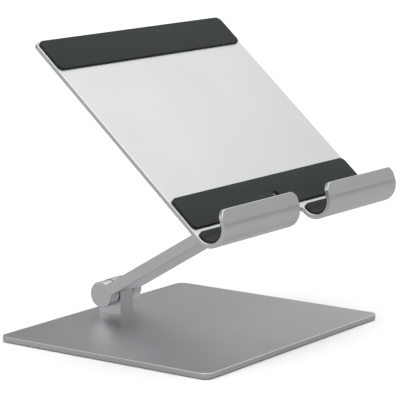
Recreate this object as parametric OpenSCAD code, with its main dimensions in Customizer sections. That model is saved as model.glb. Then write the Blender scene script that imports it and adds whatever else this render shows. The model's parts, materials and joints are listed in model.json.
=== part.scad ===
// Folding tablet stand: a flat base, one arm with a fork at each end, and a
// tray bent from one sheet with two hooks that hold the tablet's lower edge.
// Millimetres. X runs to the user's right, Y away from the user, Z up.
// The origin is the middle of the base, on the surface that it stands on.

/* [Base] */
// Width of the base plate
base_w = 200; // [160:1:260]
// Depth of the base plate
base_d = 168; // [160:1:220]
// Thickness of the base plate
base_t = 3.6; // [3:0.1:6]
// Corner radius of the base plate
base_r = 6; // [5:0.5:20]
// Thickness of the non-slip mat under the base
mat_t = 0.5; // [0.5:0.1:2]

/* [Hinges] */
// Distance of the lower hinge axis behind the middle of the base
hinge_y = 65; // [50:1:70]
// Height of each hinge axis above the plate that its block stands on
block_h = 14.6; // [13:0.1:20]
// Diameter of the round hinge ends
barrel_d = 17.6; // [16:0.1:20]
// Width of the block that each fork straddles
block_w = 14; // [10:0.5:16]
// Depth of the block, front to back
block_d = 18.2; // [15:0.1:20]
// Thickness of the washer beside each ear
washer_t = 1; // [0.5:0.1:1.5]

/* [Arm] */
// Width of the arm and of its two forks
arm_w = 34; // [32:1:40]
// Thickness of the arm
arm_t = 7.8; // [5:0.1:9]
// Distance between the two hinge axes
arm_len = 134.7; // [120:0.1:150]
// Rise of the arm above the horizontal as it stands
arm_rise = 30.9; // [20:0.1:60]

/* [Tray] */
// Width of the tray
tray_w = 199; // [180:0.5:240]
// Thickness of the tray sheet
tray_t = 3; // [2:0.1:4]
// Tilt of the tray from the horizontal as it stands
tray_tilt = 40.9; // [20:0.1:70]
// Length of the tray above its hinge axis
tray_up = 148.8; // [120:0.1:149]
// Length of the flat sheet below the hinge axis, down to the hook bend
tray_down = 20.7; // [20:0.1:30]
// Corner radius at the top of the tray
tray_r = 4; // [2:0.5:12]

/* [Hooks] */
// Width of the open gap between the two hooks
gap_w = 35; // [20:1:60]
// Inner radius of the hook bend
bend_r = 9.5; // [7:0.1:14]
// Angle through which each hook turns
bend_angle = 150; // [120:1:155]
// Straight length of the lip after the bend
lip_len = 8.6; // [7:0.1:14]
// Corner radius of the lip
lip_r = 6; // [4:0.5:7]

/* [Rubber pads] */
// Thickness of the pads
pad_t = 1.5; // [0.8:0.1:2]
// Length of the top pad down the tray
top_pad_len = 24.8; // [15:0.1:40]
// Length of the lower pad up the tray
low_pad_len = 24.4; // [20:0.1:30]
// Corner radius of the pads
pad_r = 4; // [2:0.5:6]

/* [Hidden] */
$fn = 96;
edge = 0.3;                 // chamfer that breaks the metal edges
pad_edge = 0.35;            // chamfer on the pads' edges
mat_edge = 0.1;             // chamfer on the mat's edges
fit = 0.02;                 // gap at faces that touch inside one body
slip = 0.05;                // radial gap round the bolts and their caps
run = 0.04;                 // radial running clearance of the pivots
slack = 0.3;                // free space round the loose washers
spare = 0.2;                // end clearance of the hidden pieces
join = 0.5;                 // overlap of a straight end with its bend
mat_inset = 4;              // mat's margin inside the base plate
base_top = mat_t + base_t;
barrel_r = barrel_d / 2;
axis_z = base_top + block_h;
ear_in = block_w / 2 + washer_t + fit;  // inner face of each ear
slot_gap = 0.65;            // gap between a block and the end of the slot
slot_end = block_d / 2 + slot_gap;      // depth of the fork past the axis

// Pivot hardware, measured along X from the middle of the hinge
washer_r = 7.2;
bolt_r = 3;
thread_r = 2.5;
bush_r = 4;
seat_x = 11;                // floor of the counterbore in the right ear
seat_r = 6.5;
spring_t = 0.5;             // sheet of one spring washer
spring_rise = 0.4;          // cone height of one spring washer
head_x = seat_x + 2 * (spring_t + spring_rise);
head_t = 1.5;
head_r = 5.5;
socket_r = 2;               // hexagon socket in the bolt's head
socket_floor = 0.3;         // metal left under the socket
cap_x = head_x + head_t + spare;
cap_edge = 0.25;            // chamfer round the bolt's cap
shank_end = block_w / 2 + slack;  // where the shank steps down to the thread
thread_end = 13.6;          // reach of the thread into the left ear
thread_spare = 0.4;         // free depth past the thread

// Screws that hold the two blocks
head_ratio = 1.9;           // a countersunk head's radius against its thread's
post_screw_y = 5.5;
post_screw_r = 2;
post_screw_len = 10.5;
post_socket_r = 1.4;
post_socket_depth = 1.5;
tray_screw_y = 4.7;
tray_screw_r = 1.5;
tray_screw_len = 9.5;
tray_socket_r = 1.15;
tray_socket_depth = 1.2;
pad_hole_r = 3.1;           // hole in the lower pad round one screw

// Tray lines, along the tray from its hinge axis (u) and out of it (v)
back_v = block_h;
face_v = back_v + tray_t;
bend_v = face_v + bend_r;
gap_u = -18.1;              // sheet's edge between the hooks
gap_fillet = 2.5;
hook_w = (tray_w - gap_w) / 2;
hook_x = (tray_w + gap_w) / 4;
hook_tuck = 1;              // overlap of each hook's tongue with the sheet
pad_side = 1.7;             // pads' margin from the tray's sides
top_pad_gap = 0.5;          // top pad's margin from the tray's upper edge
low_pad_low = -13.4;
hook_pad_high = -16.5;      // upper edge of the hook pads
hook_pad_side = 1.6;        // hook pads' margin from the hooks' ends
hook_pad_tip = 2.4;         // hook pads' margin from the lips' edges
hook_pad_r = 4;

aluminium = [0.63, 0.64, 0.65];
rubber = [0.26, 0.28, 0.29];
steel = [0.55, 0.56, 0.58];
nylon = [0.85, 0.84, 0.80];

// ---- places ----

// The lower hinge, with the axis along X
module at_lower() {
    translate([0, hinge_y, axis_z]) children();
}

// The arm's own frame: it reaches along -Y from the lower axis
module at_arm() {
    at_lower() rotate([-arm_rise, 0, 0]) children();
}

// The tray's own frame at the upper axis: Y up the tray, Z out of its face
module at_tray() {
    at_arm() translate([0, -arm_len, 0])
        rotate([arm_rise + tray_tilt, 0, 0]) children();
}

// The middle of the hook bend, with Y up the tray
module at_bend() {
    translate([0, -tray_down, bend_v]) children();
}

// ---- shapes ----

// Turns a shape drawn along Z so that it lies along X
module along_x() {
    rotate([90, 0, 90]) children();
}

// A rectangle with its four corners cut
module cut_rect(w, h, c) {
    polygon([[c, 0], [w - c, 0], [w, c], [w, h - c],
        [w - c, h], [c, h], [0, h - c], [0, c]]);
}

// A flat plate with round corners and broken edges, low corner at [-w/2, 0, 0]
module slab(w, l, t, r, c) {
    translate([-w / 2 + r, 0, 0]) along_x()
        linear_extrude(w - 2 * r) cut_rect(l, t, c);
    translate([-w / 2, l - r, 0]) rotate([90, 0, 0])
        linear_extrude(l - 2 * r) cut_rect(w, t, c);
    for (x = [-1, 1], y = [r, l - r])
        translate([x * (w / 2 - r), y, 0]) rotate_extrude()
            polygon([[0, 0], [r - c, 0], [r, c], [r, t - c], [r - c, t], [0, t]]);
}

// A bar of a plate with square ends and broken long edges, running along Y
module strip(w, l, t, c) {
    translate([-w / 2, l, 0]) rotate([90, 0, 0])
        linear_extrude(l) cut_rect(w, t, c);
}

// A round rod along X from x0 to x1
module rod(x0, x1, r) {
    translate([x0, 0, 0]) along_x() cylinder(h = x1 - x0, r = r);
}

// A round rod along X with both rims broken
module rim_rod(x0, x1, r, c) {
    translate([x0, 0, 0]) along_x() rotate_extrude()
        polygon([[0, 0], [r - c, 0], [r, c], [r, x1 - x0 - c], [r - c, x1 - x0], [0, x1 - x0]]);
}

// Bends a profile about the X axis, from straight down towards -Y
module bend(angle) {
    rotate([0, 90, 180]) rotate_extrude(angle = angle) children();
}

// The straight end of a bent sheet, with round free corners. It starts just
// inside the bend and is a hair thinner, so that the two join cleanly.
module bend_end(w, l, t, r, c) {
    difference() {
        translate([0, -2 * r, 0]) slab(w, l + 2 * r, t, r, c);
        translate([-w, -3 * r - join, -1]) cube([2 * w, 3 * r, t + 2]);
    }
}

// A flat ring along X
module ring(x0, x1, r_out, r_in) {
    difference() {
        rod(x0, x1, r_out);
        rod(x0 - 1, x1 + 1, r_in);
    }
}

// A countersunk screw pointing up from its head's flat face
module flat_screw(r, len, grow) {
    head = head_ratio * r + grow;
    cylinder(h = head - r, r1 = head, r2 = r + grow);
    cylinder(h = len + grow, r = r + grow);
}

// A block under a plate at height 0, with its round end about the pivot
module block(h) {
    difference() {
        union() {
            translate([-block_w / 2, -block_d / 2, -h]) cube([block_w, block_d, h]);
            rod(-block_w / 2, block_w / 2, block_d / 2);
        }
        rod(-block_w, block_w, bush_r);
    }
}

// ---- pivot hardware, the same in both hinges ----

module bush() {
    ring(-block_w / 2 + spare, block_w / 2 - spare, bush_r - fit, bolt_r + run);
}

module washer(side) {
    x0 = side * (ear_in - fit - washer_t / 2) - washer_t / 2;
    ring(x0, x0 + washer_t, washer_r, bolt_r + slack);
}

module pivot_bolt() {
    difference() {
        union() {
            rod(-thread_end, 0, thread_r);
            rod(-shank_end, head_x + join, bolt_r);
            rim_rod(head_x, head_x + head_t, head_r, edge);
        }
        translate([head_x + socket_floor, 0, 0]) along_x()
            cylinder(h = head_t, r = socket_r, $fn = 6);
    }
}

// One cone-shaped spring washer and its mirror image, rim to rim
module spring_washers() {
    inner = bolt_r + spare;
    outer = seat_r - 2 * spare;
    top = spring_t + spring_rise;
    translate([seat_x, 0, 0]) along_x() rotate_extrude()
        polygon([[inner, 0], [outer, spring_rise], [outer, top - fit], [inner, spring_t]]);
    translate([seat_x, 0, 0]) along_x() rotate_extrude()
        polygon([[inner, 2 * top - fit], [outer, 2 * top - spring_rise - fit],
            [outer, top], [inner, 2 * top - spring_t - fit]]);
}

module bolt_cap() {
    rim_rod(cap_x, arm_w / 2, seat_r - slip, cap_edge);
}

// The slot between the two ears of a fork, from its floor or its open end
module fork_slot() {
    translate([-ear_in, 0, -barrel_d]) cube([2 * ear_in, barrel_d + slot_end, 2 * barrel_d]);
}

// The holes for the bolt through both ears of a fork
module fork_holes() {
    // seat for the bolt's head in the right ear, with its clearance hole
    rod(seat_x, arm_w, seat_r);
    rod(0, seat_x + 1, bolt_r + slip);
    // tapped hole in the left ear
    rod(-thread_end - thread_spare, 0, thread_r + fit);
}

// ---- base ----

module base_mat() {
    color(rubber) translate([0, -base_d / 2 + mat_inset, 0])
        slab(base_w - 2 * mat_inset, base_d - 2 * mat_inset, mat_t, base_r - mat_inset, mat_edge);
}

module base_plate() {
    color(aluminium) difference() {
        translate([0, -base_d / 2, mat_t]) slab(base_w, base_d, base_t, base_r, edge);
        for (y = [-1, 1])
            translate([0, hinge_y + y * post_screw_y, mat_t])
                flat_screw(post_screw_r, post_screw_len, fit);
    }
}

module hinge_post() {
    color(aluminium) difference() {
        at_lower() block(block_h);
        for (y = [-1, 1])
            translate([0, hinge_y + y * post_screw_y, mat_t])
                flat_screw(post_screw_r, post_screw_len, fit);
    }
}

module post_screws() {
    color(steel) for (y = [-1, 1])
        translate([0, hinge_y + y * post_screw_y, mat_t]) difference() {
            flat_screw(post_screw_r, post_screw_len - spare, 0);
            translate([0, 0, -1]) cylinder(h = post_socket_depth + 1, r = post_socket_r, $fn = 6);
        }
}

// ---- lower hinge ----

module lower_bush() { color(nylon) at_lower() bush(); }
module lower_washer_left() { color(nylon) at_lower() washer(-1); }
module lower_washer_right() { color(nylon) at_lower() washer(1); }
module lower_pivot_bolt() { color(steel) at_arm() pivot_bolt(); }
module lower_spring_washers() { color(steel) at_arm() spring_washers(); }
module lower_bolt_cap() { color(aluminium) at_arm() bolt_cap(); }

// ---- arm ----

module arm() {
    color(aluminium) at_arm() difference() {
        union() {
            translate([0, -arm_len, -arm_t / 2]) strip(arm_w, arm_len, arm_t, edge);
            for (y = [0, -arm_len])
                translate([0, y, 0]) rim_rod(-arm_w / 2, arm_w / 2, barrel_r, edge);
        }
        translate([0, -slot_end, 0]) fork_slot();
        fork_holes();
        translate([0, -arm_len - barrel_d, 0]) fork_slot();
        translate([0, -arm_len, 0]) fork_holes();
    }
}

// ---- upper hinge ----

module at_upper() { at_arm() translate([0, -arm_len, 0]) children(); }
module upper_pivot_bolt() { color(steel) at_upper() pivot_bolt(); }
module upper_spring_washers() { color(steel) at_upper() spring_washers(); }
module upper_bolt_cap() { color(aluminium) at_upper() bolt_cap(); }
module upper_bush() { color(nylon) at_tray() bush(); }
module upper_washer_left() { color(nylon) at_tray() washer(-1); }
module upper_washer_right() { color(nylon) at_tray() washer(1); }

// A screw in the tray's frame, head flush with the tray's front face
module tray_screw(y, len, grow) {
    translate([0, y, face_v]) mirror([0, 0, 1]) flat_screw(tray_screw_r, len, grow);
}

module tray_block() {
    color(aluminium) at_tray() difference() {
        mirror([0, 0, 1]) block(block_h);
        for (y = [-1, 1]) tray_screw(y * tray_screw_y, tray_screw_len, fit);
    }
}

module block_screws() {
    color(steel) at_tray() for (y = [-1, 1]) difference() {
        tray_screw(y * tray_screw_y, tray_screw_len - spare, 0);
        translate([0, y * tray_screw_y, face_v - tray_socket_depth])
            cylinder(h = tray_socket_depth + 1, r = tray_socket_r, $fn = 6);
    }
}

// ---- tray ----

// One hook: a tongue of the flat sheet, the bend, and the lip
module hook() {
    along = tray_down + gap_u + tray_r + hook_tuck;
    at_bend() {
        translate([0, 0, -bend_r - tray_t]) strip(hook_w, along, tray_t, edge);
        translate([hook_w / 2, 0, 0]) bend(bend_angle)
            translate([bend_r, 0]) cut_rect(tray_t, hook_w, edge);
        rotate([180 - bend_angle, 0, 0]) translate([0, 0, bend_r + fit])
            bend_end(hook_w, lip_len, tray_t - 2 * fit, lip_r, edge);
    }
}

// Rounds the sheet's inner corner beside a hook, on the side given
module gap_corner(side) {
    translate([side * gap_w / 2, gap_u, back_v]) difference() {
        translate([side > 0 ? -gap_fillet : 0, -gap_fillet, 0])
            cube([gap_fillet, gap_fillet + 1, tray_t]);
        translate([-side * gap_fillet, -gap_fillet, -1]) cylinder(h = tray_t + 2, r = gap_fillet);
    }
}

module tray() {
    color(aluminium) at_tray() difference() {
        union() {
            translate([0, gap_u, back_v]) slab(tray_w, tray_up - gap_u, tray_t, tray_r, edge);
            for (side = [-1, 1]) {
                translate([side * hook_x, 0, 0]) hook();
                gap_corner(side);
            }
        }
        for (y = [-1, 1]) tray_screw(y * tray_screw_y, tray_screw_len, fit);
    }
}

// ---- rubber pads ----

module top_pad() {
    color(rubber) at_tray() translate([0, tray_up - top_pad_gap - top_pad_len, face_v])
        slab(tray_w - 2 * pad_side, top_pad_len, pad_t, pad_r, pad_edge);
}

module lower_pad() {
    color(rubber) at_tray() difference() {
        translate([0, low_pad_low, face_v])
            slab(tray_w - 2 * pad_side, low_pad_len, pad_t, pad_r, pad_edge);
        translate([0, -tray_screw_y, face_v - 1]) cylinder(h = pad_t + 2, r = pad_hole_r);
    }
}

module hook_pad(side) {
    w = hook_w - 2 * hook_pad_side;
    color(rubber) at_tray() translate([side * hook_x, 0, 0]) at_bend() {
        translate([0, 0, -bend_r]) difference() {
            flat = tray_down + hook_pad_high;
            translate([0, -2 * hook_pad_r, 0])
                slab(w, flat + 2 * hook_pad_r, pad_t, hook_pad_r, pad_edge);
            translate([-w, -3 * hook_pad_r, -1]) cube([2 * w, 3 * hook_pad_r, pad_t + 2]);
        }
        translate([w / 2, 0, 0]) bend(bend_angle)
            translate([bend_r - pad_t, 0]) cut_rect(pad_t, w, pad_edge);
        rotate([180 - bend_angle, 0, 0]) translate([0, 0, bend_r - pad_t + fit])
            bend_end(w, lip_len - hook_pad_tip, pad_t - 2 * fit, hook_pad_r, pad_edge);
    }
}

module hook_pad_left() { hook_pad(-1); }
module hook_pad_right() { hook_pad(1); }

base_mat();
base_plate();
hinge_post();
post_screws();
lower_bush();
lower_washer_left();
lower_washer_right();
lower_pivot_bolt();
lower_spring_washers();
lower_bolt_cap();
arm();
upper_pivot_bolt();
upper_spring_washers();
upper_bolt_cap();
tray_block();
upper_bush();
upper_washer_left();
upper_washer_right();
block_screws();
tray();
top_pad();
lower_pad();
hook_pad_left();
hook_pad_right();
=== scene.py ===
# %% [markdown]
# # A folding tablet stand
# The stand is a flat base, one arm with a fork at each end, and a tray bent from
# one sheet. Its metal pieces come ready from the CAD frame, at their true size.
# This file gives each of them a finish, and makes the soft pieces itself: four
# rubber pads and the foam mat. Everything is in metres, in the frame of the CAD.

# %% Load the frame
import json
from math import cos, pi, radians, sin

import bmesh
import bpy
from mathutils import Matrix, Vector


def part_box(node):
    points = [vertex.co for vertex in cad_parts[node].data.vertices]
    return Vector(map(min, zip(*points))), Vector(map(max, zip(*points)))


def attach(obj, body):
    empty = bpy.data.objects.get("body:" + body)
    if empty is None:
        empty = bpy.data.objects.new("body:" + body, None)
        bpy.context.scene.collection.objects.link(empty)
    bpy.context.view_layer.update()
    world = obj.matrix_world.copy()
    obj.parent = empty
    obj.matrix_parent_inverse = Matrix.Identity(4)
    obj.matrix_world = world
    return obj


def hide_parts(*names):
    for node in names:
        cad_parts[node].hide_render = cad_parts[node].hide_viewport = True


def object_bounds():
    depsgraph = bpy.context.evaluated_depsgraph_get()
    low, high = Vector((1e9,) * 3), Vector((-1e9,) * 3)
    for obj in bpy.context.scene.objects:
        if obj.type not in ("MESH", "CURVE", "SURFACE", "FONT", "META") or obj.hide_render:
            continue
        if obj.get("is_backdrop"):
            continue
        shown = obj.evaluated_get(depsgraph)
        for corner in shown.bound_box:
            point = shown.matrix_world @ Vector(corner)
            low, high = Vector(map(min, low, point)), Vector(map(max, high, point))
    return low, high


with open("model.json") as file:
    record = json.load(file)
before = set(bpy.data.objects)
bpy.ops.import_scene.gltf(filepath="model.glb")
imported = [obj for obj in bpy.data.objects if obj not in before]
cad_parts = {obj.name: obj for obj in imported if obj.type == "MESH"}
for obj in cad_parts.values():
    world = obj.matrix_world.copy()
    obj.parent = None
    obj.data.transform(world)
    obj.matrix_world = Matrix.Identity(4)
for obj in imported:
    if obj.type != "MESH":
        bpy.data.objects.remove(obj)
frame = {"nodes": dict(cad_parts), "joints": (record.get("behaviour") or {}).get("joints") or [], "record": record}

cad_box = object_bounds()
print("CAD nodes:", len(frame["nodes"]))

# %% [markdown]
# ## Where things are
# The tray leans back, so its pads are easiest to make flat and then to lay on it.
# The joint record says where the tray's hinge is, and the mount on the tray's face
# says which way that face looks. From those two come three axes: across the tray,
# up the tray, and out of its face. Every node can be measured along them.

# %% The tray's own axes
MM = 0.001
ACROSS = Vector((1, 0, 0))
joints = {j["name"]: j for j in frame["joints"]}
mounts = {m["name"]: m for m in frame["record"]["mounts"]}
hinge = Vector(joints["tray_tilt"]["pos_m"])
OUT = Vector(mounts["tablet_rest"]["axis"]).normalized()
UP = OUT.cross(ACROSS)
on_tray = Matrix((ACROSS, UP, OUT)).transposed().to_4x4()
on_tray.translation = hinge


def span(node, axis):
    """Lowest and highest place of a CAD node along an axis through the tray's hinge."""
    places = [(v.co - hinge).dot(axis) for v in frame["nodes"][node].data.vertices]
    return min(places), max(places)


face_out = span("top_pad", OUT)[0]
print("the tray's face is", round(face_out / MM, 2), "mm out from its hinge")

# %% [markdown]
# ## The camera
# A long lens from a little over a metre away keeps the upright edges nearly
# parallel. It stands to the left and in front, ten degrees above the desk.

# %% Camera
LENS = 194.9
FILM_WIDTH = 36
CAMERA_PLACE = (-1.1383, -0.8301, 0.3460)
TURN_RIGHT = radians(54.09)
LOOK_DOWN = radians(10.36)
camera_data = bpy.data.cameras.new("camera")
camera_data.lens = LENS
camera_data.sensor_width = FILM_WIDTH
camera_data.clip_end = 100
camera = bpy.data.objects.new("camera", camera_data)
bpy.context.scene.collection.objects.link(camera)
camera.location = CAMERA_PLACE
camera.rotation_euler = (pi / 2 - LOOK_DOWN, 0, -TURN_RIGHT)
bpy.context.scene.camera = camera
print("camera at", [round(x, 3) for x in camera.location])

# %% [markdown]
# ## Small helpers for materials
# Every finish here is a Principled shader with a few noises behind it. A few short
# helpers keep the node trees readable: `plug` fills a node's sockets with values or
# links, `add` makes a node and plugs it, `noise` and `spread` give a number between
# two limits, `mix` gives a colour between two, and `bump` adds relief upon relief.


# %% Node helpers
COLOUR_A, COLOUR_B, COLOUR_OUT = 6, 7, 2    # the colour sockets of a Mix node


def new_material(name):
    """A material with a Principled shader; returns it with its tree, shader and place."""
    mat = bpy.data.materials.new(name)
    mat.use_nodes = True
    tree = mat.node_tree
    shader = tree.nodes["Principled BSDF"]
    place = tree.nodes.new("ShaderNodeTexCoord").outputs["Object"]
    return mat, tree, shader, place


def fill(tree, socket, value):
    """Links a socket to an output, or sets it to a plain value."""
    if isinstance(value, bpy.types.NodeSocket):
        tree.links.new(value, socket)
    else:
        socket.default_value = value


def plug(tree, node, **sockets):
    """Fills each named socket of a node; an underscore stands for a space."""
    for name, value in sockets.items():
        fill(tree, node.inputs[name.replace("_", " ")], value)


def add(tree, kind, **sockets):
    """A new node with its sockets filled."""
    node = tree.nodes.new(kind)
    plug(tree, node, **sockets)
    return node


def noise(tree, place, per_metre, detail=2.0, stretch=(1, 1, 1)):
    """A noise whose lumps are about one over per_metre across, from 0 to 1."""
    mapped = add(tree, "ShaderNodeMapping", Vector=place, Scale=stretch)
    made = add(tree, "ShaderNodeTexNoise", Vector=mapped.outputs[0], Scale=per_metre, Detail=detail)
    return made.outputs["Fac"]


def cells(tree, place, per_metre):
    """Small round cells about one over per_metre across: 0 at each middle, rising outwards."""
    return add(tree, "ShaderNodeTexVoronoi", Vector=place, Scale=per_metre).outputs["Distance"]


def spread(tree, source, low, high, start=0.3, end=0.7):
    """Turns start..end of a noise into low..high, and holds it there outside."""
    return add(tree, "ShaderNodeMapRange", Value=source, From_Min=start, From_Max=end,
               To_Min=low, To_Max=high).outputs[0]


def mix(tree, share, first, second):
    """A colour between two, by a share from 0 to 1; each is an output or three numbers."""
    node = add(tree, "ShaderNodeMix")
    node.data_type = "RGBA"
    tree.links.new(share, node.inputs["Factor"])
    for place_in, colour in ((COLOUR_A, first), (COLOUR_B, second)):
        plain = not isinstance(colour, bpy.types.NodeSocket)
        fill(tree, node.inputs[place_in], (*colour, 1) if plain else colour)
    return node.outputs[COLOUR_OUT]


def combine(tree, first, second, operation):
    """The sum or the product of two numbers."""
    node = add(tree, "ShaderNodeMath")
    node.operation = operation
    tree.links.new(first, node.inputs[0])
    tree.links.new(second, node.inputs[1])
    return node.outputs[0]


def bump(tree, height, depth, under=None):
    """A bump of that depth in metres, laid over another one if there is one."""
    node = add(tree, "ShaderNodeBump", Height=height, Distance=depth)
    if under is not None:
        tree.links.new(under, node.inputs["Normal"])
    return node.outputs[0]


print("helpers ready")

# %% [markdown]
# ## Satin aluminium
# The metal is blasted with fine glass beads and then anodised in its own silver
# colour. Beads leave a mesh of tiny dents, far smaller than a millimetre, which is
# why the face looks soft and even. A fine noise and a cell pattern give the dents,
# and two slow noises let the sheen drift a little, as it does where the blasting
# was a touch heavier and where hands have been.


# %% Aluminium finish
SILVER = (0.565, 0.572, 0.582)
DARKER, LIGHTER = 0.96, 1.03    # how far the silver drifts either way


def satin_aluminium(name, rough, dent=6e-6):
    mat, tree, shader, place = new_material(name)
    slow = noise(tree, place, 14, detail=3)
    hands = noise(tree, place, 45, detail=4, stretch=(1, 1.6, 1))
    beads = noise(tree, place, 2600, detail=3)
    dark = [c * DARKER for c in SILVER]
    light = [c * LIGHTER for c in SILVER]
    drift = spread(tree, slow, rough - 0.02, rough + 0.02, 0.0, 1.0)
    touch = spread(tree, hands, -0.008, 0.008, 0.0, 1.0)
    relief = bump(tree, cells(tree, place, 1900.0), dent)
    plug(tree, shader, Metallic=1,
         Base_Color=mix(tree, spread(tree, slow, 0, 1), dark, light),
         Roughness=combine(tree, drift, touch, "ADD"),
         Normal=bump(tree, beads, dent, relief))
    return mat


plate_finish = satin_aluminium("plate_aluminium", 0.29, dent=4e-6)
hinge_finish = satin_aluminium("hinge_aluminium", 0.40)
cap_finish = satin_aluminium("cap_aluminium", 0.32, dent=4e-6)
print("aluminium finishes made")

# %% [markdown]
# ## Steel, nylon and rubber
# The screws and pivot bolts are zinc plated: brighter than the aluminium, with fine
# turning marks and a faint blue and yellow drift. The washers are white nylon. The
# pads are matt silicone rubber, nearly black at the edges, with a fine moulded
# grain and a little dust in it. The mat is foam, with open cells, and the middle
# of each cell is painted darker as painted shade in its pore.


# %% Steel, nylon and rubber finishes
def plated_steel():
    mat, tree, shader, place = new_material("plated_steel")
    drift = noise(tree, place, 220, detail=3)
    marks = noise(tree, place, 900, detail=4, stretch=(6, 1, 1))
    blue, yellow = (0.50, 0.51, 0.53), (0.60, 0.59, 0.56)
    plug(tree, shader, Metallic=1,
         Base_Color=mix(tree, spread(tree, drift, 0, 1), blue, yellow),
         Roughness=spread(tree, marks, 0.24, 0.38),
         Normal=bump(tree, marks, 8e-6))
    return mat


def white_nylon():
    mat, tree, shader, place = new_material("white_nylon")
    cloud = noise(tree, place, 300, detail=3)
    grain = noise(tree, place, 2500, detail=3)
    cream, white = (0.70, 0.69, 0.64), (0.80, 0.79, 0.75)
    plug(tree, shader, Subsurface_Weight=0.1, Subsurface_Radius=(0.001, 0.001, 0.001),
         Base_Color=mix(tree, spread(tree, cloud, 0, 1), cream, white),
         Roughness=spread(tree, grain, 0.42, 0.55),
         Normal=bump(tree, grain, 8e-6))
    return mat


def matt_rubber():
    mat, tree, shader, place = new_material("matt_rubber")
    cloud = noise(tree, place, 30, detail=4)
    fine = noise(tree, place, 3200, detail=3)
    dust = noise(tree, place, 900, detail=6)
    deep, worn, dusty = (0.017, 0.021, 0.022), (0.022, 0.027, 0.028), (0.08, 0.085, 0.085)
    body = mix(tree, spread(tree, cloud, 0, 1), deep, worn)
    relief = bump(tree, cells(tree, place, 1500.0), 3e-5)
    plug(tree, shader, Specular_IOR_Level=0.22,
         Base_Color=mix(tree, spread(tree, dust, 0, 0.35, start=0.62, end=0.74), body, dusty),
         Roughness=spread(tree, cloud, 0.62, 0.74),
         Normal=bump(tree, fine, 1e-5, relief))
    return mat


def open_foam():
    mat, tree, shader, place = new_material("open_foam")
    pore_depth_and_shade = cells(tree, place, 1300.0)
    cloud = noise(tree, place, 60, detail=3)
    deep, skin = (0.020, 0.022, 0.023), (0.05, 0.053, 0.055)
    plug(tree, shader,
         # painted shade: each cell's middle, where the bump sinks the pore, gets the darker colour
         Base_Color=mix(tree, spread(tree, pore_depth_and_shade, 0, 1), deep, skin),
         Roughness=spread(tree, cloud, 0.82, 0.94),
         Normal=bump(tree, pore_depth_and_shade, 1.2e-4))
    return mat


steel_finish = plated_steel()
nylon_finish = white_nylon()
rubber_finish = matt_rubber()
foam_finish = open_foam()
print("other finishes made")

# %% [markdown]
# ## Finishes on the CAD pieces
# Each metal piece keeps its mesh and only gets a finish in its material slots. The
# record says which slot a node has, so one small table is enough.

# %% Give the CAD nodes their finishes
FINISH = {"aluminium": hinge_finish, "steel": steel_finish, "nylon": nylon_finish}
OWN_FINISH = {
    "base_plate": plate_finish,
    "tray": plate_finish,
    "lower_bolt_cap": cap_finish,
    "upper_bolt_cap": cap_finish,
}
for part in frame["record"]["subparts"]:
    node, slot = part["node"], part["material_slot"]
    finish = OWN_FINISH.get(node) or FINISH.get(slot)
    if finish is None:
        continue
    mesh = frame["nodes"][node].data
    mesh.materials.clear()
    mesh.materials.append(finish)
print("finished", sum(1 for o in frame["nodes"].values() if o.data.materials), "nodes")

# %% [markdown]
# ## Flat rubber pads
# A pad is cut from sheet rubber with round corners, and its upper rim is rolled by
# the mould. The outline starts as a rectangle whose four corners are bevelled, and
# a hole is left where a screw shows. The outline is filled, pushed up to its
# thickness, and then the rim is bevelled with several segments to roll it.

# %% Make a flat pad
RIM = 0.45 * MM
RIM_STEPS = 4
CORNER_STEPS = 10
HOLE_SIDES = 48
SHARP_EDGE = 1.2                # radians between the faces of an edge that is rolled
SMOOTH_UP_TO = radians(50)


def round_corners(bm, corners, radius):
    """Cuts the corners of a flat or bent sheet round."""
    bmesh.ops.bevel(bm, geom=corners, offset=radius, offset_type="OFFSET", segments=CORNER_STEPS,
                    profile=0.5, affect="VERTICES", material=-1)


def sheet_outline(wide, low, high, corner, hole=None):
    """A flat face with round corners between low and high, with a round hole if asked."""
    bm = bmesh.new()
    bmesh.ops.create_grid(bm, x_segments=1, y_segments=1, size=0.5)
    bmesh.ops.scale(bm, vec=(wide, high - low, 1), verts=bm.verts)
    bmesh.ops.translate(bm, vec=(0, (low + high) / 2, 0), verts=bm.verts)
    round_corners(bm, bm.verts[:], corner)
    if hole is not None:
        hole_up, hole_radius = hole
        bmesh.ops.delete(bm, geom=bm.faces[:], context="FACES_ONLY")
        made = bmesh.ops.create_circle(bm, cap_ends=False, radius=hole_radius, segments=HOLE_SIDES)
        bmesh.ops.translate(bm, vec=(0, hole_up, 0), verts=made["verts"])
        bmesh.ops.triangle_fill(bm, use_beauty=True, use_dissolve=False, edges=bm.edges[:],
                                normal=(0, 0, 1))
    return bm


def roll_rim(bm, only_up):
    """Rounds the sharp edges of a sheet: all of them, or only those of the side that looks up."""
    bm.normal_update()
    sharp = [e for e in bm.edges
             if len(e.link_faces) == 2 and e.calc_face_angle() > SHARP_EDGE
             and (not only_up or any(f.normal.z > 0.5 for f in e.link_faces))]
    bmesh.ops.bevel(bm, geom=sharp, offset=RIM, offset_type="OFFSET", segments=RIM_STEPS,
                    profile=0.5, affect="EDGES", material=-1, clamp_overlap=True)


def thicken(bm, thick):
    """Pushes a flat face up to a closed slab, with its faces pointing outwards."""
    grown = bmesh.ops.extrude_face_region(bm, geom=bm.faces[:], use_keep_orig=True)
    top = [g for g in grown["geom"] if isinstance(g, bmesh.types.BMVert)]
    bmesh.ops.translate(bm, vec=(0, 0, thick), verts=top)
    bmesh.ops.recalc_face_normals(bm, faces=bm.faces)


def finish_piece(name, bm, place, body, finish, slot, *stands_for):
    """Makes an object of a mesh, lays it in its place, and hands it to its body."""
    bmesh.ops.transform(bm, matrix=place, verts=bm.verts)
    mesh = bpy.data.meshes.new(name)
    bm.to_mesh(mesh)
    bm.free()
    mesh.materials.append(finish)
    for face in mesh.polygons:
        face.use_smooth = True
    mesh.set_sharp_from_angle(angle=SMOOTH_UP_TO)
    piece = bpy.data.objects.new(name, mesh)
    bpy.context.scene.collection.objects.link(piece)
    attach(piece, body)
    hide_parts(*stands_for)
    print(name, "has", len(mesh.vertices), "vertices and", len(mesh.polygons), "faces")


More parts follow.
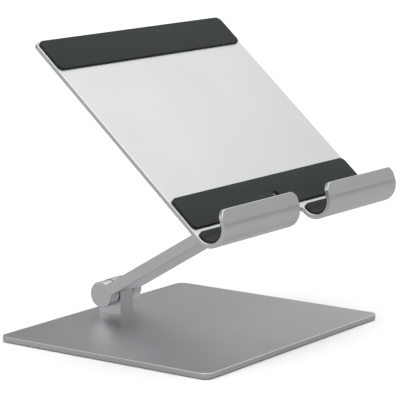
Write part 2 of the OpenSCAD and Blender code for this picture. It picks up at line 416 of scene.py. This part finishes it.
def flat_pad(node, corner, hole=None):
    """The rubber pad that stands for a flat CAD pad on the tray."""
    low, high = span(node, UP)
    left, right = span(node, ACROSS)
    inner, outer = span(node, OUT)
    bm = sheet_outline(right - left, low, high, corner, hole)
    thicken(bm, outer - inner)
    roll_rim(bm, only_up=True)
    lift = Matrix.Translation((0, 0, inner))
    finish_piece(node + "_rubber", bm, on_tray @ lift, "tray", rubber_finish, "pad_rubber", node)


PAD_CORNER = 4 * MM
SCREW_HEAD = 2.85 * MM           # radius of the screw head that shows
PAD_HOLE = 3.1 * MM              # radius of the hole round it
flat_pad("top_pad", PAD_CORNER)
screw_up = min(span("block_screws", UP)) + SCREW_HEAD
flat_pad("lower_pad", PAD_CORNER, hole=(screw_up, PAD_HOLE))

# %% [markdown]
# ## Rubber in the hooks
# The pads in the hooks lie on the flat sheet, go round the bend and end on the lip.
# One strip across the hook is drawn first. It is pushed down the flat part, spun
# round the bend's own centre, and pushed on up the lip. Its four corners are cut
# round, and then it gets its thickness and a rolled rim.

# %% Make a hook pad
HOOK_TURN = radians(150)
BEND_RADIUS = 9.5 * MM
BEND_STEPS = 36
LIP_RUN = 6.2 * MM
HOOK_PAD_THICK = 1.5 * MM


def verts_of(geom):
    return [g for g in geom if isinstance(g, bmesh.types.BMVert)]


def edges_of(geom):
    return [g for g in geom if isinstance(g, bmesh.types.BMEdge)]


def bent_strip(node):
    """The face of a hook pad that touches the metal, and the centre of its bend."""
    left, right = span(node, ACROSS)
    low, high = span(node, UP)
    inner = span(node, OUT)[0]
    centre = Vector((0, low + BEND_RADIUS, inner + BEND_RADIUS))
    bm = bmesh.new()
    top = [bm.verts.new((x, high, inner)) for x in (left, right)]
    grown = bmesh.ops.extrude_edge_only(bm, edges=[bm.edges.new(top)])["geom"]
    bmesh.ops.translate(bm, vec=(0, centre.y - high, 0), verts=verts_of(grown))
    spun = bmesh.ops.spin(bm, geom=edges_of(grown) + verts_of(grown), cent=centre, axis=(-1, 0, 0),
                          angle=HOOK_TURN, steps=BEND_STEPS, use_merge=False)["geom_last"]
    grown = bmesh.ops.extrude_edge_only(bm, edges=edges_of(spun))["geom"]
    along = Vector((0, -cos(HOOK_TURN), sin(HOOK_TURN))) * LIP_RUN
    bmesh.ops.translate(bm, vec=along, verts=verts_of(grown))
    round_corners(bm, top + verts_of(grown), PAD_CORNER)
    return bm, centre


def hook_pad(node):
    """The bent rubber that stands for one hook's CAD pad."""
    bm, centre = bent_strip(node)
    bm.normal_update()
    flat = max(bm.faces, key=lambda f: f.calc_center_median().y)
    if flat.normal.z < 0:
        bmesh.ops.reverse_faces(bm, faces=bm.faces)
    bmesh.ops.solidify(bm, geom=bm.faces[:], thickness=-HOOK_PAD_THICK)
    bmesh.ops.recalc_face_normals(bm, faces=bm.faces)
    roll_rim(bm, only_up=False)
    reach = [(v.co - centre).yz.length / MM for v in bm.verts if v.co.y < centre.y]
    print(node, "is", round(min(reach), 2), "to", round(max(reach), 2), "mm from its bend's centre")
    finish_piece(node + "_rubber", bm, on_tray, "tray", rubber_finish, "pad_rubber", node)


for node in ("hook_pad_left", "hook_pad_right"):
    hook_pad(node)

# %% [markdown]
# ## The foam mat
# The mat under the base is one sheet of foam, cut a little smaller than the plate.

# %% Make the mat
MAT_CORNER = 2 * MM
low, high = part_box("base_mat")
bm = sheet_outline(high.x - low.x, low.y, high.y, MAT_CORNER)
thicken(bm, high.z - low.z)
finish_piece("base_mat_foam", bm, Matrix.Translation((0, 0, low.z)), "base", foam_finish,
             "rubber", "base_mat")

# %% [markdown]
# ## Floor
# The floor is a pale plain plane, wide enough to reach the horizon. It is nearly
# white where it is seen. What it throws back at the metal is greyer, so that the
# faces that look down, such as the hooks and the plate's edges, keep some depth.

# %% Floor
FLOOR_HALF = 12.0
FLOOR_BOUNCE = (0.50, 0.50, 0.50)
bm = bmesh.new()
bmesh.ops.create_grid(bm, x_segments=1, y_segments=1, size=FLOOR_HALF)
floor_mesh = bpy.data.meshes.new("floor")
bm.to_mesh(floor_mesh)
bm.free()
floor = bpy.data.objects.new("floor", floor_mesh)
bpy.context.scene.collection.objects.link(floor)
floor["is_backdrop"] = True
floor_finish, tree, shader, place = new_material("studio_floor")
speck = spread(tree, noise(tree, place, 60, detail=2), 0, 1)
seen = mix(tree, speck, (0.97, 0.97, 0.97), (0.98, 0.98, 0.98))
is_seen = add(tree, "ShaderNodeLightPath").outputs["Is Camera Ray"]
plug(tree, shader, Base_Color=mix(tree, is_seen, FLOOR_BOUNCE, seen), Roughness=0.9,
     Specular_IOR_Level=0.0)
floor_mesh.materials.append(floor_finish)
print("floor is", 2 * FLOOR_HALF, "m across")

# %% [markdown]
# ## Sky
# Metal shows what is around it, so most of the light is a soft sky: grey near the
# horizon, and brighter overhead. The base plate mirrors the low part of it. A dark
# curtain behind the stand dims the plate's far left corner. The tray leans back and
# mirrors the upper right, where a large panel adds light, and a second panel on the
# left lights the arm's side, the post and the round ends of the hinge.

# %% Sky
SKY_TOP = 2.0                    # the brightest value that the ramp can give
SKY = ((0.0, 0.39), (0.3, 0.50), (0.5, 0.62), (0.7, 1.20), (1.0, 1.70))
world = bpy.data.worlds.new("studio")
bpy.context.scene.world = world
world.use_nodes = True
tree = world.node_tree
sky = tree.nodes["Background"]
direction = add(tree, "ShaderNodeTexCoord").outputs["Generated"]
height = add(tree, "ShaderNodeSeparateXYZ", Vector=direction).outputs["Z"]
ramp = add(tree, "ShaderNodeValToRGB", Fac=height)
stops = ramp.color_ramp.elements
stops[0].position, stops[-1].position = SKY[0][0], SKY[-1][0]
for place_up, _ in SKY[1:-1]:
    stops.new(place_up)
for stop, (_, level) in zip(stops, SKY):
    share = level / SKY_TOP
    stop.color = (share, share, share, 1)


def patch_of_sky(toward, edge, middle, outside, inside):
    """A value that goes softly from one level to another round a direction of the sky."""
    facing = add(tree, "ShaderNodeVectorMath")
    facing.operation = "DOT_PRODUCT"
    tree.links.new(direction, facing.inputs[0])
    facing.inputs[1].default_value = Vector(toward).normalized()
    patch = add(tree, "ShaderNodeMapRange", Value=facing.outputs["Value"], From_Min=edge,
                From_Max=middle, To_Min=outside, To_Max=inside)
    patch.interpolation_type = "SMOOTHSTEP"
    return patch.outputs[0]


curtain = patch_of_sky((0.10, 0.97, 0.25), edge=0.62, middle=0.80, outside=1.0, inside=0.50)
right_panel = patch_of_sky((0.76, -0.10, 0.64), edge=0.72, middle=0.93,
                           outside=0.0, inside=0.36 / SKY_TOP)
left_panel = patch_of_sky((-0.90, 0.30, 0.05), edge=0.30, middle=0.95,
                          outside=0.0, inside=0.60 / SKY_TOP)
light = combine(tree, ramp.outputs[0], curtain, "MULTIPLY")
light = combine(tree, light, right_panel, "ADD")
light = combine(tree, light, left_panel, "ADD")
plug(tree, sky, Color=light, Strength=SKY_TOP)
print("sky of", len(SKY), "levels, one curtain and two panels")

# %% [markdown]
# ## Lamp
# One broad softbox above the front left gives the edges a faint line of light and
# lays a very soft shadow on the floor.

# %% Lamp
SOFTBOX_SIZE = (1.6, 1.2)
SOFTBOX_WATTS = 3
SOFTBOX_PLACE = Vector((-0.9, -0.3, 1.5))
LOOK_AT = Vector((0, 0, 0.1))
lamp_data = bpy.data.lights.new("softbox", "AREA")
lamp_data.shape = "RECTANGLE"
lamp_data.size, lamp_data.size_y = SOFTBOX_SIZE
lamp_data.energy = SOFTBOX_WATTS
lamp = bpy.data.objects.new("softbox", lamp_data)
bpy.context.scene.collection.objects.link(lamp)
lamp.location = SOFTBOX_PLACE
lamp.rotation_euler = (SOFTBOX_PLACE - LOOK_AT).to_track_quat("Z", "Y").to_euler()
bpy.context.scene.view_settings.view_transform = "Standard"
print("one softbox of", lamp_data.energy, "W")

# %% [markdown]
# ## Measure and finish
# The CAD box and the box of what is shown are written side by side, so that it is
# easy to see that the soft pieces stay inside the stand's true size.

# %% Sizes and finish
shown_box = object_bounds()
for name, (low, high) in (("CAD", cad_box), ("shown", shown_box)):
    print(name, "box in mm:", [round((b - a) / MM, 1) for a, b in zip(low, high)])
